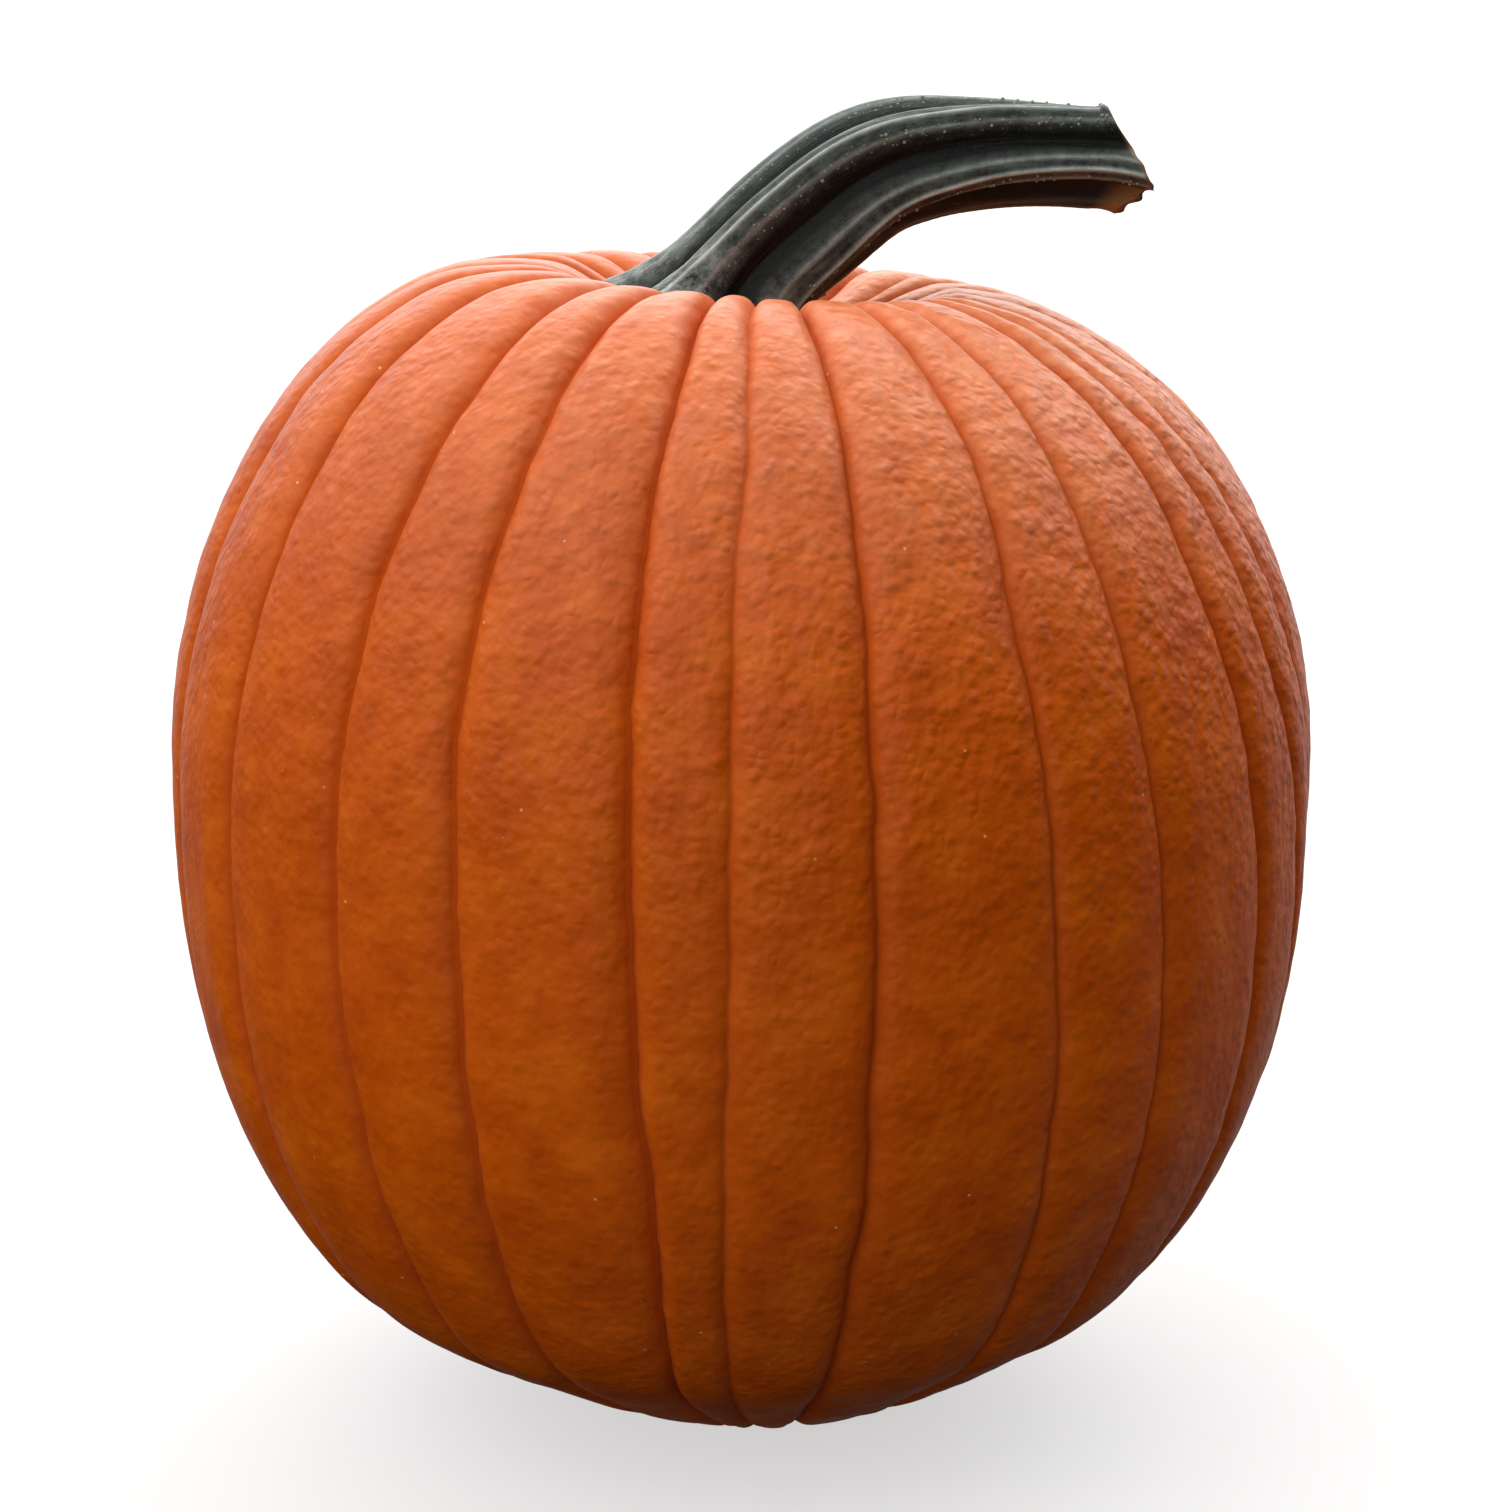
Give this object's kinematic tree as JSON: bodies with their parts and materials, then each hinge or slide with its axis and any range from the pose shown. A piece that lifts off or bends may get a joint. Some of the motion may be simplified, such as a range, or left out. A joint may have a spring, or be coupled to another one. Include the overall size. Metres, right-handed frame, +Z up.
{
  "type": "pumpkin",
  "caption": "Round ribbed orange pumpkin, slightly taller than wide, with a thick curved green ridged stem cut at a slant; rests on its blossom end.",
  "frame": {"origin": "on the ground under the middle of the fruit", "axes": "+Z up along the fruit's axis to the stem, +X the way the stem bends, -Y the front that the picture shows"},
  "size_m": [0.2811, 0.2812, 0.3257],
  "materials": {
    "rind": "satin, finely wrinkled",
    "stem": "dull, ridged and speckled"
  },
  "bodies": {
    "root": {"fruit": "rind", "stem": "stem"}
  },
  "joints": []
}
